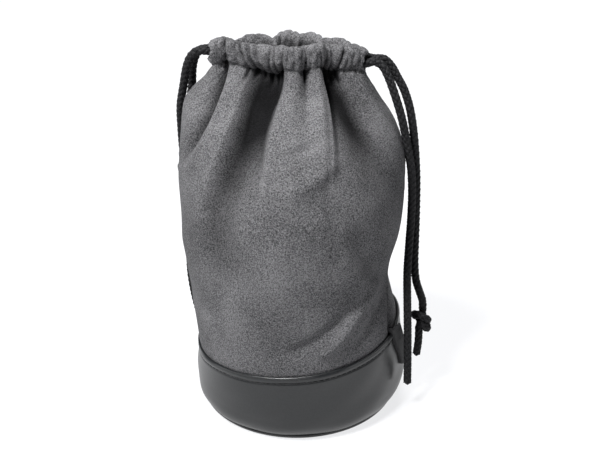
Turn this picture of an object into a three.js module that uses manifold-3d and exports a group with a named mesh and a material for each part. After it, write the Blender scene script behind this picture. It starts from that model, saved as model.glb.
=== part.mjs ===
// Drawstring lens pouch: a gathered suede tube with a lining on a leatherette base band.
// Millimetres, +Z up, front to -Y. The origin is the centre of the base, on the table.
import * as THREE from 'three';
import { mergeVertices } from 'three/examples/jsm/utils/BufferGeometryUtils.js';
import Module from 'manifold-3d';

// driving dimensions
const clearance = 0.3;

// base
const weltRadius = 54;
const weltThickness = 3;
const panelThickness = 1.4;
const boardThickness = 1.5;
const boardRadius = 50.5;
const padThickness = 6;
const padRadius = 51.5;

// wall: heights of its stations, with half widths to the left and right and half depth of the suede's
// face; the filled pouch leans to the left
const suedeThickness = 1.2;
const liningThickness = 0.8;
const footHeight = 10;
const footRadius = 57;
const bulgeHeight = 20;
const bulgeRadius = 58.4;
const bandHeight = 42;
const seamHalfWidth = 57;
const seamHalfDepth = 58.4;
const waistHeight = 74;
const waistLeft = 59.5;
const waistRight = 51;
const waistHalfDepth = 59.2;
const bellyHeight = 126;
const bellyLeft = 61.9;
const bellyRight = 59.3;
const bellyHalfDepth = 58.4;
const upperHeight = 150;
const upperLeft = 60.5;
const upperRight = 57.4;
const upperHalfDepth = 51.5;
const shoulderHeight = 172;
const shoulderLeft = 57.8;
const shoulderRight = 50;
const shoulderHalfDepth = 36.8;
const neckHeight = 193;
const neckHalfWidth = 41.5;
const neckHalfDepth = 18.5;

// band
const bandThickness = 1.4;
const bandOverlap = 9;

// gathers: the main folds of the neck, each a valley with its places across at the upper station, the
// shoulder and the neck, its depth and its half width
const gatherStart = 118;
const lobeSwell = 3;
const hemShare = 0.35;
const rightDrop = 3;
const valleys = {
  front: [
    { across: [-54, -42.5, -34], depth: 7, halfWidth: 4 },
    { across: [-21, -19.5, -12.5], depth: 12, halfWidth: 6 },
    { across: [33, 26.5, 20.5], depth: 11, halfWidth: 6 },
  ],
  back: [
    { across: [-40, -35, -30], depth: 10, halfWidth: 5.5 },
    { across: [-14, -13, -11], depth: 11, halfWidth: 5.5 },
    { across: [7, 6.5, 5.5], depth: 5, halfWidth: 3.5 },
    { across: [27, 23, 19], depth: 10, halfWidth: 5.5 },
    { across: [49, 41.5, 33], depth: 6, halfWidth: 4 },
  ],
};

// hem, the tunnel that holds both cords
const hemHeight = 16;
const hemThickness = 7.6;
const hemRipple = 0.9;
const rippleCount = 24;

// cords
const cordDiameter = 4;
const exitReach = 42.5;
const knotSpread = 1.22;
const knotTurn = THREE.MathUtils.degToRad(120);

// woven tab on the slanting right-hand seam, bent back: ends of its sewn edge, off the band's face
const tabFootHeight = 24;
const tabFootAngle = THREE.MathUtils.degToRad(-18);
const tabHeadHeight = 52;
const tabHeadAngle = THREE.MathUtils.degToRad(-27);
const tabStandoff = 1.6;
const tabReach = 4.6;
const tabThickness = 1.2;
const tabBend = THREE.MathUtils.degToRad(60);

const wasm = await Module();
wasm.setup();

const group = new THREE.Group();
group.name = 'lens_pouch';

const suede = { color: 0x646466, roughness: 0.95 };
const leatherette = { color: 0x3a3c3f, roughness: 0.55 };
const liningCloth = { color: 0x2a292e, roughness: 0.9 };
const blackCord = { color: 0x101012, roughness: 0.8 };
const greyboard = { color: 0x8a7f6e, roughness: 0.9 };
const foam = { color: 0x3a3a3a, roughness: 0.95 };
const wovenTab = { color: 0x141416, roughness: 0.7 };

function add(name, geometry, look) {
  const bare = geometry.clone();
  for (const extra of ['normal', 'uv']) bare.deleteAttribute(extra);
  const solid = mergeVertices(bare, 1e-4);
  if (signedVolume(solid) < 0) flip(solid);
  solid.computeVertexNormals();
  const mesh = new THREE.Mesh(solid, new THREE.MeshStandardMaterial(look));
  mesh.name = name;
  group.add(mesh);
}

function signedVolume(geometry) {
  const at = geometry.attributes.position;
  const index = geometry.index.array;
  const [a, b, c] = [new THREE.Vector3(), new THREE.Vector3(), new THREE.Vector3()];
  let volume = 0;
  for (let i = 0; i < index.length; i += 3) {
    a.fromBufferAttribute(at, index[i]);
    b.fromBufferAttribute(at, index[i + 1]);
    c.fromBufferAttribute(at, index[i + 2]);
    volume += a.dot(b.cross(c)) / 6;
  }
  return volume;
}

function flip(geometry) {
  const index = geometry.index.array;
  for (let i = 0; i < index.length; i += 3) [index[i], index[i + 1]] = [index[i + 1], index[i]];
}

// A solid between two grids of points. With closed true, the rows join up into a ring.
function solidBetween(columns, rows, outer, inner, closed = false) {
  const across = closed ? rows : rows + 1;
  const positions = [];
  const index = [];
  for (const point of [outer, inner]) {
    for (let i = 0; i <= columns; i += 1) {
      for (let j = 0; j < across; j += 1) positions.push(...point(i / columns, j / rows).toArray());
    }
  }
  const half = (columns + 1) * across;
  const quad = (a, b, c, d) => index.push(a, b, c, a, c, d);
  const at = (layer, i, j) => layer * half + i * across + (j % across);
  for (let i = 0; i < columns; i += 1) {
    for (let j = 0; j < rows; j += 1) {
      quad(at(0, i, j), at(0, i + 1, j), at(0, i + 1, j + 1), at(0, i, j + 1));
      quad(at(1, i, j), at(1, i, j + 1), at(1, i + 1, j + 1), at(1, i + 1, j));
    }
    if (!closed) {
      quad(at(0, i, 0), at(1, i, 0), at(1, i + 1, 0), at(0, i + 1, 0));
      quad(at(0, i, rows), at(0, i + 1, rows), at(1, i + 1, rows), at(1, i, rows));
    }
  }
  for (let j = 0; j < rows; j += 1) {
    quad(at(0, 0, j), at(0, 0, j + 1), at(1, 0, j + 1), at(1, 0, j));
    quad(at(0, columns, j), at(1, columns, j), at(1, columns, j + 1), at(0, columns, j + 1));
  }
  const geometry = new THREE.BufferGeometry();
  geometry.setAttribute('position', new THREE.Float32BufferAttribute(positions, 3));
  geometry.setIndex(index);
  return geometry;
}

function disc(radius, thickness, bottom) {
  const geometry = new THREE.CylinderGeometry(radius, radius, thickness, 40).rotateX(Math.PI / 2);
  return geometry.translate(0, 0, bottom + thickness / 2);
}

function cord(path, steps) {
  const corners = Array.from({ length: 8 }, (_, i) => new THREE.Vector2(
    (cordDiameter / 2) * Math.cos((i * Math.PI) / 4),
    (cordDiameter / 2) * Math.sin((i * Math.PI) / 4),
  ));
  return new THREE.ExtrudeGeometry(new THREE.Shape(corners), { extrudePath: path, steps });
}

function manifold(geometry) {
  const bare = geometry.clone();
  for (const extra of ['normal', 'uv']) bare.deleteAttribute(extra);
  const solid = mergeVertices(bare, 1e-4);
  if (signedVolume(solid) < 0) flip(solid);
  return new wasm.Manifold(new wasm.Mesh({
    numProp: 3,
    vertProperties: new Float32Array(solid.attributes.position.array),
    triVerts: new Uint32Array(solid.index.array),
  }));
}

function geometryOf(solid) {
  const mesh = solid.getMesh();
  const geometry = new THREE.BufferGeometry();
  geometry.setAttribute('position', new THREE.BufferAttribute(new Float32Array(mesh.vertProperties), 3));
  geometry.setIndex(new THREE.BufferAttribute(new Uint32Array(mesh.triVerts), 1));
  return geometry;
}

// base stack, from the table up
const weltMiddle = weltThickness / 2 + 0.1;
const boardBottom = panelThickness + clearance;
const padBottom = boardBottom + boardThickness + clearance;
const floorBottom = padBottom + padThickness + clearance;
const wallBottom = weltMiddle + weltThickness / 2 + clearance;

// section of the suede's face at a height, on the left or the right
const profileOf = (waist, belly, upper, shoulder) => new THREE.CatmullRomCurve3([
  new THREE.Vector3(weltRadius, weltRadius, wallBottom),
  new THREE.Vector3(footRadius, footRadius, footHeight),
  new THREE.Vector3(bulgeRadius, bulgeRadius, bulgeHeight),
  new THREE.Vector3(seamHalfWidth, seamHalfDepth, bandHeight),
  new THREE.Vector3(waist, waistHalfDepth, waistHeight),
  new THREE.Vector3(belly, bellyHalfDepth, bellyHeight),
  new THREE.Vector3(upper, upperHalfDepth, upperHeight),
  new THREE.Vector3(shoulder, shoulderHalfDepth, shoulderHeight),
  new THREE.Vector3(neckHalfWidth, neckHalfDepth, neckHeight),
]);
const leftProfile = profileOf(waistLeft, bellyLeft, upperLeft, shoulderLeft);
const rightProfile = profileOf(waistRight, bellyRight, upperRight, shoulderRight);

function stationAt(profile, height) {
  let [low, high] = [0, 1];
  for (let i = 0; i < 40; i += 1) {
    const middle = (low + high) / 2;
    if (profile.getPoint(middle).z < height) low = middle;
    else high = middle;
  }
  return profile.getPoint(low);
}

function sectionAt(height, angle) {
  const halfDepth = (stationAt(leftProfile, height).y + stationAt(rightProfile, height).y) / 2;
  return { halfWidth: stationAt(Math.cos(angle) < 0 ? leftProfile : rightProfile, height).x, halfDepth };
}

const gather = (height) => THREE.MathUtils.smoothstep(height, gatherStart, neckHeight);
// the mouth hangs lower at its right end
const sag = (angle, height) => rightDrop * Math.max(Math.cos(angle), 0) ** 2 * gather(height);

// how far the folds hold the wall out; they are deepest at the shoulder and close up under the hem
function foldAt(side, angle, height) {
  const grown = THREE.MathUtils.smoothstep(height, gatherStart, shoulderHeight);
  const shut = (1 - hemShare) * THREE.MathUtils.smoothstep(height, shoulderHeight, neckHeight);
  const x = sectionAt(height, angle).halfWidth * Math.cos(angle);
  let out = lobeSwell * Math.abs(Math.sin(angle));
  for (const { across: [foot, middle, top], depth, halfWidth } of valleys[side]) {
    const place = height < shoulderHeight
      ? THREE.MathUtils.mapLinear(height, upperHeight, shoulderHeight, foot, middle)
      : THREE.MathUtils.mapLinear(height, shoulderHeight, neckHeight, middle, top);
    out -= depth * Math.exp(-(((x - place) / halfWidth) ** 2));
  }
  return out * grown * (1 - shut);
}

// a point of an elliptic section, moved out along its normal
function onSection(halfWidth, halfDepth, angle, offset, z) {
  const normal = new THREE.Vector2(halfDepth * Math.cos(angle), halfWidth * Math.sin(angle)).normalize();
  return new THREE.Vector3(
    halfWidth * Math.cos(angle) + normal.x * offset,
    halfDepth * Math.sin(angle) + normal.y * offset,
    z,
  );
}

function wallPoint(angle, height, offset) {
  const { halfWidth, halfDepth } = sectionAt(height, angle);
  return onSection(halfWidth, halfDepth, angle, offset, height - sag(angle, height));
}

// front half and back half of the wall, with a seam gap at each side
const seamTurn = 0.005;
const halves = {
  front: (u) => -Math.PI + seamTurn + u * (Math.PI - 2 * seamTurn),
  back: (u) => seamTurn + u * (Math.PI - 2 * seamTurn),
};

function wallSolid(turn, columns, heights, outerOffset, innerOffset) {
  const rows = heights.length - 1;
  const at = (offset) => (u, v) => {
    const height = heights[Math.round(v * rows)];
    return wallPoint(turn(u), height, offset(turn(u), height));
  };
  return solidBetween(columns, rows, at(outerOffset), at(innerOffset));
}

const evenly = (from, to, count) => Array.from({ length: count }, (_, i) => from + ((to - from) * i) / count);

// base
add('base_panel', disc(weltRadius - weltThickness / 2 - clearance, panelThickness, 0), leatherette);
add('base_welt', new THREE.TorusGeometry(weltRadius, weltThickness / 2, 8, 40)
  .translate(0, 0, weltMiddle), leatherette);
add('base_board', disc(boardRadius, boardThickness, boardBottom), greyboard);
add('base_pad', disc(padRadius, padThickness, padBottom), foam);

const liningGap = 2 * clearance;
const floorInset = suedeThickness + liningGap + liningThickness + clearance;
const floorRadius = sectionAt(floorBottom, 0).halfWidth - floorInset;
add('lining_floor', disc(floorRadius, liningThickness, floorBottom), liningCloth);

// band, suede wall and lining, each in two halves; the suede is tucked in behind the band's top
const tucked = [bandHeight - bandOverlap, bandHeight - bandOverlap / 2, bandHeight];
const bandHeights = [wallBottom, ...evenly(footHeight, tucked[0], 2), ...tucked];
const panelHeights = [...tucked.slice(0, 2), ...evenly(bandHeight, gatherStart, 3),
  ...evenly(gatherStart, neckHeight, 6), neckHeight];
const liningHeights = [floorBottom, bulgeHeight, ...panelHeights.slice(2)];
for (const [side, turn] of Object.entries(halves)) {
  add(`band_${side}`, wallSolid(turn, 24, bandHeights,
    () => clearance + bandThickness, () => clearance), leatherette);

  const fold = (depth) => (angle, height) => foldAt(side, angle, height) - depth;
  add(`${side}_panel`, wallSolid(turn, 32, panelHeights, fold(0), fold(suedeThickness)), suede);

  const liningFace = suedeThickness + liningGap;
  add(`lining_${side}`, wallSolid(turn, 32, liningHeights,
    fold(liningFace), fold(liningFace + liningThickness)), liningCloth);
}

// hem: a flat tunnel round the mouth, cut off at each side to let the cords out
const hemHalfWidth = neckHalfWidth - hemThickness / 2;
const hemHalfDepth = neckHalfDepth - hemThickness / 2;
const hemMiddle = neckHeight + clearance + hemHeight / 2;
const exitGap = cordDiameter / 2 + clearance;

function hemPoint(angle, offset, lift) {
  return onSection(hemHalfWidth, hemHalfDepth, angle, offset, hemMiddle + lift - sag(angle, neckHeight));
}

function exitTurn() {
  let [low, high] = [0, Math.PI / 2];
  for (let i = 0; i < 40; i += 1) {
    const middle = (low + high) / 2;
    if (hemPoint(middle, -hemThickness / 2, 0).y < exitGap) low = middle;
    else high = middle;
  }
  return high;
}

const hemEnd = exitTurn();
const squarer = (value) => Math.sign(value) * Math.sqrt(Math.abs(value));
const hemTurns = {
  front: (u) => -Math.PI + hemEnd + u * (Math.PI - 2 * hemEnd),
  back: (u) => hemEnd + u * (Math.PI - 2 * hemEnd),
};
for (const [side, turn] of Object.entries(hemTurns)) {
  const ring = (halfThickness, halfHeight, ripple) => (u, v) => {
    const angle = turn(u);
    const round = 2 * Math.PI * v;
    const wave = ripple * (1 + Math.cos(rippleCount * angle)) / 2 * Math.max(Math.cos(round), 0);
    const out = halfThickness * squarer(Math.cos(round)) + wave;
    return hemPoint(angle, out, halfHeight * squarer(Math.sin(round)));
  };
  add(`${side}_hem`, solidBetween(26, 8, ring(hemThickness / 2, hemHeight / 2, hemRipple),
    ring(hemThickness / 2 - suedeThickness, hemHeight / 2 - suedeThickness, 0), true), suede);
}

// cords: each runs round both tunnels in its own lane and comes out at its own side, one strand
// above the other
const lane = cordDiameter + clearance;
const exitHeight = (side) => hemMiddle - sag(side > 0 ? 0 : Math.PI, neckHeight) - (side * lane) / 2;

function loopPath(side, laneSign) {
  const points = [];
  const steps = 32;
  for (let i = 0; i <= steps; i += 1) {
    const turn = hemEnd + (i / steps) * 2 * (Math.PI - hemEnd);
    const across = (1 - Math.cos(turn)) / 2;
    const lift = laneSign * lane * (0.5 + 0.5 * across * across);
    points.push(hemPoint(side > 0 ? turn : turn + Math.PI, 0, lift));
  }
  return new THREE.CatmullRomCurve3(points);
}

const vectors = (list) => list.map((point) => new THREE.Vector3(...point));

// the two strands at a way out turn from one above the other to side by side
function stubPath(side, middle, strand) {
  const [start, end] = [hemHalfWidth - hemThickness / 2, exitReach - cordDiameter / 2 - clearance];
  const points = [];
  for (let i = 0; i <= 6; i += 1) {
    const x = start + (end - start) * (i / 6);
    const turn = (Math.PI / 2) * (1 - THREE.MathUtils.smoothstep(x, start + 1, end));
    points.push(new THREE.Vector3(
      side * x,
      strand * (lane / 2) * Math.cos(turn),
      middle + strand * (lane / 2) * Math.sin(turn),
    ));
  }
  return new THREE.CatmullRomCurve3(points);
}

// a hanging strand, with a rounded root that turns in front of the way out
function tail(path, steps) {
  const root = new THREE.SphereGeometry(0.9 * cordDiameter / 2, 8, 6).rotateX(Math.PI / 2);
  root.translate(...path.getPoint(0).toArray());
  return geometryOf(manifold(cord(path, steps)).add(manifold(root)));
}

// A tightened overhand knot with a short bare end. The knot's first half is its second half turned
// over about the X axis.
const knotMiddle = [4, 0, 0];
const knotHalf = [
  [3.5, 2, 2.5], [1, 3.5, 5], [-2, 2.5, 5.5], [-4, 0.5, 4], [-3.5, -1.5, 1.5], [-1.5, -2, -0.5],
  [0, 0, -2.5], [0.5, 1, -5.5], [0.5, 1, -8.5],
];
const knotEnd = [[0.5, 1, -13], [1, 1.5, -19]];
const knotLine = [...knotHalf.map(([x, y, z]) => [x, -y, -z]).reverse(), knotMiddle, ...knotHalf, ...knotEnd];

function knotPath(strandEnd) {
  const upright = new THREE.Vector3(0, 0, 1);
  const points = vectors(knotLine).map(
    (point) => point.multiplyScalar(knotSpread).applyAxisAngle(upright, knotTurn),
  );
  const shift = strandEnd.clone().sub(points[0]);
  shift.z -= clearance;
  return new THREE.CatmullRomCurve3(points.map((point) => point.add(shift)));
}

function leastGap(path) {
  const points = path.getSpacedPoints(400);
  const step = path.getLength() / 400;
  let least = Infinity;
  for (let i = 0; i < points.length; i += 1) {
    for (let j = i + Math.ceil((2 * cordDiameter) / step); j < points.length; j += 1) {
      least = Math.min(least, points[i].distanceTo(points[j]));
    }
  }
  return least - cordDiameter;
}

// each strand runs from the way out to its end; the chosen points follow the first one
const strands = {
  right: {
    side: 1,
    outer: [
      [47.4, 1.9, 195.8], [51.4, 1.5, 191.8], [54.6, 0.7, 186], [57.8, -0.6, 180], [60.7, -2, 171],
      [62.7, -3, 160], [64.2, -3.8, 146], [65.2, -4, 130], [65.5, -4, 112], [65.5, -4, 95], [65.5, -4.4, 80],
      [66.4, -5.6, 70], [68.4, -7.2, 63.4], [70, -8.4, 58.4], [70.3, -8.6, 53.7],
    ],
    inner: [
      [46.4, -3.2, 193.6], [49.2, -4.8, 188.4], [51.4, -6, 182.6], [53.6, -6.9, 176], [55.7, -7.4, 169],
      [57.6, -7.6, 161], [60, -7.8, 149], [61.8, -8, 138], [62.6, -8, 124], [62.4, -8, 108],
      [61.4, -10.5, 93], [60.4, -15.2, 79.5], [60.3, -20.6, 64.4], [60.4, -25, 49],
      [60.6, -27, 33], [60.7, -28, 17],
    ],
  },
  left: {
    side: -1,
    outer: [
      [-47.8, -1, 203.2], [-51.8, 1.2, 199.4], [-54.6, 4.2, 192.8], [-57, 7.8, 182.6], [-59.8, 11.6, 169.6],
      [-60.8, 16.6, 156], [-61.2, 21, 141], [-60.8, 24, 124], [-60.4, 25, 105], [-61.2, 24.6, 85],
      [-62, 24.4, 64], [-60.8, 27.4, 44], [-57.8, 31, 24], [-55, 34, 6],
    ],
    inner: [
      [-47, 3.8, 202.2], [-50.2, 7, 197.4], [-52.2, 11.2, 189.6], [-53.4, 15.8, 179.6], [-55.4, 21.2, 168.6],
      [-56, 25.4, 157], [-56.4, 29.6, 143], [-56.2, 33, 127], [-56, 35.8, 110], [-55.4, 37.6, 92],
      [-54.8, 38.4, 76], [-54.4, 38.6, 62],
    ],
  },
};

for (const [name, { side, outer, inner }] of Object.entries(strands)) {
  const middle = exitHeight(side);
  add(`${name}_cord_loop`, cord(loopPath(side, -side), 32), blackCord);
  for (const [strand, sign, points] of [['outer', side, outer], ['inner', -side, inner]]) {
    const exit = [side * exitReach, (sign * lane) / 2, middle];
    const path = new THREE.CatmullRomCurve3(vectors([exit, ...points]));
    add(`${name}_exit_${strand}`, cord(stubPath(side, middle, sign), 6), blackCord);
    add(`${name}_tail_${strand}`, tail(path, 20), blackCord);
    if ((name === 'right') === (strand === 'outer')) {
      const knot = knotPath(path.getPoint(1));
      add(`${name}_knot`, cord(knot, 30), blackCord);
      console.log(`${name} knot: least gap to itself ${leastGap(knot).toFixed(2)} mm`);
    }
    console.log(`${name} ${strand} strand: ${path.getLength().toFixed(0)} mm`);
  }
}

// woven tab: a folded strip, free to bend about its sewn edge
const tabSeat = clearance + bandThickness + tabStandoff;
const tabFoot = wallPoint(tabFootAngle, tabFootHeight, tabSeat);
const tabHead = wallPoint(tabHeadAngle, tabHeadHeight, tabSeat);
const tabAxis = tabHead.clone().sub(tabFoot).normalize();
const tabMiddle = tabFoot.clone().lerp(tabHead, 0.5);
const tabAside = new THREE.Vector3(-tabMiddle.y, tabMiddle.x, 0).normalize();
const tabOut = tabAside.clone().cross(tabAxis).normalize();
tabAside.crossVectors(tabAxis, tabOut);

const tabShape = new THREE.Shape();
tabShape.absarc(0, 0, tabThickness / 2, Math.PI / 2, (3 * Math.PI) / 2);
tabShape.absarc(tabReach, 0, tabThickness / 2, -Math.PI / 2, Math.PI / 2);
const tabLength = tabFoot.distanceTo(tabHead);
const tab = new THREE.ExtrudeGeometry(tabShape, { depth: tabLength, bevelEnabled: false, curveSegments: 3 });
tab.rotateZ(tabBend);
tab.applyMatrix4(new THREE.Matrix4().makeBasis(tabOut, tabAside, tabAxis).setPosition(tabFoot));
add('side_tab', tab, wovenTab);

const shown = (vector) => vector.toArray().map((value) => value.toFixed(3)).join(' ');
console.log(`tab turns at ${shown(tabMiddle)} about ${shown(tabAxis)}`);
console.log(`cords leave at heights ${exitHeight(1).toFixed(2)} and ${exitHeight(-1).toFixed(2)}`);
export default group;
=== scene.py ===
import math

import bpy
import numpy as np
from mathutils import Matrix, Vector


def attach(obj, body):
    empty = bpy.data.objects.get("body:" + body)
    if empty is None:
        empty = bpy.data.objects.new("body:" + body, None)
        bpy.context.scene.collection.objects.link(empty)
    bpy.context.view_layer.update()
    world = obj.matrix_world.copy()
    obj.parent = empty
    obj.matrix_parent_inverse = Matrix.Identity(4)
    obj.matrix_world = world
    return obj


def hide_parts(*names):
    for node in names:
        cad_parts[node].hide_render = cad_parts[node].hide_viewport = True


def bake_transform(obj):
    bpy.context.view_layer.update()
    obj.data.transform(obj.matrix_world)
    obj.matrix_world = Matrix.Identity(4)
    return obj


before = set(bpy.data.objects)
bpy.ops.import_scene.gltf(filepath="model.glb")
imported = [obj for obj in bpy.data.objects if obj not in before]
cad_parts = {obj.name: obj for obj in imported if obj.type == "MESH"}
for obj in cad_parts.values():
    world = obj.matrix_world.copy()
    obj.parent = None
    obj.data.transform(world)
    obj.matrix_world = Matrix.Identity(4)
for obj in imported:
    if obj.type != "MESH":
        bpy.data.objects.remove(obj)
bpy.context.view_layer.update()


# Stand for the picture: a camera a little over half a metre in front, looking down at the pouch.
# It is held slightly turned, so the pouch leans to the left in the picture.
MM = 0.001
IMAGE_WIDTH = 600
FOCAL_PIXELS = 1115
SENSOR_WIDTH = 36.0
CAMERA_PLACE = (2.4 * MM, -550 * MM, 372 * MM)
CAMERA_PITCH = math.radians(26.08)
CAMERA_ROLL = math.radians(-1.2)

scene = bpy.context.scene
camera_data = bpy.data.cameras.new("camera")
camera_data.sensor_fit = "HORIZONTAL"
camera_data.sensor_width = SENSOR_WIDTH
camera_data.lens = FOCAL_PIXELS / IMAGE_WIDTH * SENSOR_WIDTH
camera = bpy.data.objects.new("camera", camera_data)
scene.collection.objects.link(camera)
camera.matrix_world = (
    Matrix.Translation(CAMERA_PLACE)
    @ Matrix.Rotation(math.pi / 2 - CAMERA_PITCH, 4, "X")
    @ Matrix.Rotation(CAMERA_ROLL, 4, "Z")
)
scene.camera = camera
scene.view_settings.view_transform = "Standard"


# Table and light: a broad pale light table that runs far behind the pouch. A soft lamp stands high up at
# the front left, a wide pale light falls on everything from behind, and weak ones fill both sides.
FLOOR_HALF = 6.0
FLOOR_COLOUR = (0.15, 0.151, 0.154, 1)
FLOOR_ROUGHNESS = 0.9
FLOOR_GLOW_COLOUR = (0.98, 0.985, 1, 1)
FLOOR_GLOW = 0.8
ROOM_COLOUR = (0.93, 0.95, 1.0, 1)
ROOM_STRENGTH = 0.1
LIGHTS = [  # name, kind, place, where it points, size or spread, power
    ("front_light", "AREA", (-0.46, -0.5, 1.26), (0, 0, 0.15), 0.3, 36.0),
    ("overhead_light", "SUN", (0.1, 0.5, 1.3), (0, 0, 0), math.radians(25), 2.8),
    ("left_light", "AREA", (-1.0, 0.0, 0.4), (0, 0, 0.1), 0.5, 0.4),
    ("right_light", "AREA", (0.95, -0.1, 0.4), (0, 0, 0.1), 0.4, 0.4),
]

floor_mesh = bpy.data.meshes.new("floor")
floor_corners = [(x * FLOOR_HALF, y * FLOOR_HALF, 0) for x, y in ((-1, -1), (1, -1), (1, 1), (-1, 1))]
floor_mesh.from_pydata(floor_corners, [], [(0, 1, 2, 3)])
floor = bpy.data.objects.new("floor", floor_mesh)
scene.collection.objects.link(floor)
floor_paint = bpy.data.materials.new("pale_table")
floor_paint.use_nodes = True
floor_shader = floor_paint.node_tree.nodes["Principled BSDF"]
floor_shader.inputs["Base Color"].default_value = FLOOR_COLOUR
floor_shader.inputs["Roughness"].default_value = FLOOR_ROUGHNESS
floor_shader.inputs["Emission Color"].default_value = FLOOR_GLOW_COLOUR
floor_shader.inputs["Emission Strength"].default_value = FLOOR_GLOW
floor_mesh.materials.append(floor_paint)

room = bpy.data.worlds.new("pale_room")
room.use_nodes = True
room_light = room.node_tree.nodes["Background"]
room_light.inputs["Color"].default_value = ROOM_COLOUR
room_light.inputs["Strength"].default_value = ROOM_STRENGTH
scene.world = room

for light_name, kind, place, target, size, power in LIGHTS:
    light_data = bpy.data.lights.new(light_name, kind)
    light_data.energy = power
    if kind == "SUN":
        light_data.angle = size
    else:
        light_data.size = size
    light = bpy.data.objects.new(light_name, light_data)
    scene.collection.objects.link(light)
    light.location = place
    light.rotation_euler = (Vector(target) - Vector(place)).to_track_quat("-Z", "Y").to_euler()


# Drawcords: black braided cord, eight yarns over a core, each passing over one and under the
# next. Each cord leaves the hem as two strands, and one strand of each pair ends in a knot.
BRAID_PITCH = 14 * MM
BRAID_RADIUS = 1.4 * MM
BRAID_WEAVE = 0.32 * MM
BRAID_STEP = 0.34 * MM
YARNS_EACH_WAY = 4
YARN_HALF_WIDTH = 1.1 * MM
YARN_HALF_THICKNESS = 0.66 * MM
YARN_CORNERS = 6
CORE_RADIUS = 1.15 * MM
CORE_CORNERS = 8
ROOT_RADIUS = 1.6 * MM
ROOT_TIP = 0.02
ROOT_ROWS = 9
ROOT_CORNERS = 12
SPAN_SAMPLES = 40
LEAST_SAMPLES = 8
NOT_ALONG_A_CORD = (0.3, 1.0, 0.2)
LANE = 4.3
RIGHT_EXIT = (42.5, 0, 196.15)
LEFT_EXIT = (-42.5, 0, 203.45)
EXIT_START = 27.0
BRAID_DARK = (0.004, 0.004, 0.0044)
BRAID_LIGHT = (0.026, 0.026, 0.028)
BRAID_ROUGHNESS = 0.62
BRAID_GLOSS = 0.12
FIBRE_SCALE = 2600
FIBRE_ENDS = (0.3, 0.75)


def add_piece(name, mesh, *materials):
    """An object for a mesh, at the origin."""
    piece = bpy.data.objects.new(name, mesh)
    scene.collection.objects.link(piece)
    for material in materials:
        mesh.materials.append(material)
    return piece


def unit(vectors):
    """Vectors of the same directions and of length 1."""
    return vectors / np.linalg.norm(vectors, axis=-1, keepdims=True)


def lengths_along(line):
    """Length of a line from its start to each of its points."""
    return np.concatenate([[0], np.cumsum(np.linalg.norm(np.diff(line, axis=0), axis=1))])


def smooth_route(points, step):
    """A smooth line through points in millimetres, sampled evenly, in metres."""
    stops = np.array(points, float) * MM
    ends = np.concatenate([[2 * stops[0] - stops[1]], stops, [2 * stops[-1] - stops[-2]]])
    share = np.linspace(0, 1, SPAN_SAMPLES, endpoint=False)[:, None]
    spans = []
    for before, here, there, after in zip(ends[:-3], ends[1:-2], ends[2:-1], ends[3:]):
        bend = 2 * before - 5 * here + 4 * there - after
        twist = 3 * here - before - 3 * there + after
        spans.append(here + 0.5 * ((there - before) * share + bend * share ** 2 + twist * share ** 3))
    line = np.concatenate(spans + [stops[-1:]])
    along = lengths_along(line)
    wanted = np.linspace(0, along[-1], max(LEAST_SAMPLES, int(along[-1] / step)))
    return np.stack([np.interp(wanted, along, line[:, axis]) for axis in range(3)], axis=1)


def sides_along(line):
    """Two directions square to a line, turning as little as possible along it."""
    tangent = unit(np.gradient(line, axis=0))
    side = np.cross(tangent[0], NOT_ALONG_A_CORD)
    first = []
    for direction in tangent:
        side = unit(side - direction * np.dot(side, direction))
        first.append(side)
    first = np.array(first)
    return first, np.cross(tangent, first)


def tube_faces(rows, corners):
    """Faces of a tube made of rings of points, with closed ends."""
    index = np.arange(rows * corners).reshape(rows, corners)
    after = np.roll(index, -1, axis=1)
    sides = np.stack([index[:-1], after[:-1], after[1:], index[1:]], axis=-1).reshape(-1, 4)
    return sides.tolist() + [index[0][::-1].tolist(), index[-1].tolist()]


def tube(line, radial, sideways, half_thickness, half_width, corners):
    """Points and faces of an oval tube with closed ends."""
    turn = np.linspace(0, 2 * math.pi, corners, endpoint=False)
    rise = radial[:, None] * (half_thickness * np.cos(turn))[None, :, None]
    reach = sideways[:, None] * (half_width * np.sin(turn))[None, :, None]
    return (line[:, None] + rise + reach).reshape(-1, 3), tube_faces(len(line), corners)


def root_ball(place):
    """Points and faces of the round root of a strand."""
    dome = np.linspace(-1, 1, ROOT_ROWS) * math.pi / 2
    height = np.sin(dome) * ROOT_RADIUS
    width = np.maximum(np.cos(dome), ROOT_TIP) * ROOT_RADIUS
    turn = np.linspace(0, 2 * math.pi, ROOT_CORNERS, endpoint=False)
    ring = np.stack([np.cos(turn), np.sin(turn), 0 * turn], axis=1)
    ball = place + ring[None] * width[:, None, None] + np.array([0, 0, 1]) * height[:, None, None]
    return ball.reshape(-1, 3), tube_faces(ROOT_ROWS, ROOT_CORNERS)


def braid(name, line, root=None):
    """A mesh of eight interlaced yarns over a core, with a round root where a strand leaves the hem."""
    first, second = sides_along(line)
    along = lengths_along(line)
    parts = [tube(line, first, second, CORE_RADIUS, CORE_RADIUS, CORE_CORNERS)]
    weave = BRAID_WEAVE * np.cos(2 * YARNS_EACH_WAY * math.pi * along / BRAID_PITCH)
    for way in (1, -1):
        for yarn in range(YARNS_EACH_WAY):
            turn = way * 2 * math.pi * along / BRAID_PITCH + yarn * 2 * math.pi / YARNS_EACH_WAY
            radial = first * np.cos(turn)[:, None] + second * np.sin(turn)[:, None]
            centre = line + radial * (BRAID_RADIUS + way * weave)[:, None]
            sideways = unit(np.cross(np.gradient(centre, axis=0), radial))
            parts.append(tube(centre, radial, sideways, YARN_HALF_THICKNESS, YARN_HALF_WIDTH, YARN_CORNERS))
    if root is not None:
        parts.append(root_ball(root))
    return joined(name, parts)


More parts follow.
